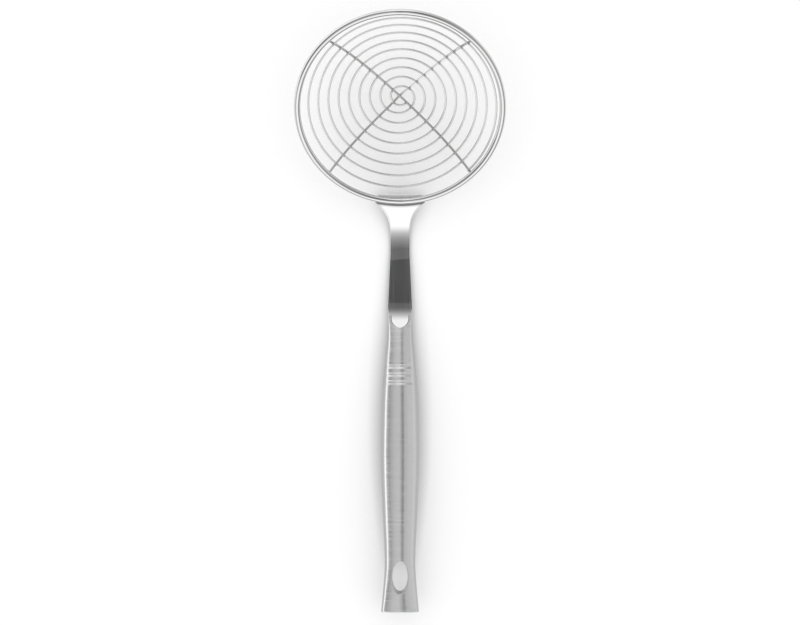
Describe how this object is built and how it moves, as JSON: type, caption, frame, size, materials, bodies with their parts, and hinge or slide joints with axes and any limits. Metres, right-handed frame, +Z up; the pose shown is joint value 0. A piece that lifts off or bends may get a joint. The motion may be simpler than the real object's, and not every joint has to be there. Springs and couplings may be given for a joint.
{
  "type": "wire skimmer",
  "caption": "Stainless steel skimmer: a shallow round bowl of spiral wire on crossed supports, a bent neck strip and a hollow grooved handle with an oval hang hole.",
  "frame": {"origin": "on the table, under the middle of the skimmer's bounding box, as it lies on its handle and the bend of its neck", "axes": "+Z up, +Y along the skimmer from the handle's end to the tip of the bowl, +X to the right seen from above"},
  "size_m": [0.125, 0.359, 0.0621],
  "materials": {
    "wire_steel": "bright drawn wire",
    "polished_steel": "mirror polished",
    "satin_steel": "satin"
  },
  "bodies": {
    "root": {"rim_ring": "wire_steel", "spiral_wire": "wire_steel", "cross_wire_upper": "wire_steel", "cross_wire_lower": "wire_steel", "neck_strip": "polished_steel", "handle_front_shell": "satin_steel", "handle_back_shell": "satin_steel", "hang_hole_sleeve": "satin_steel", "end_cap": "satin_steel"}
  },
  "joints": []
}
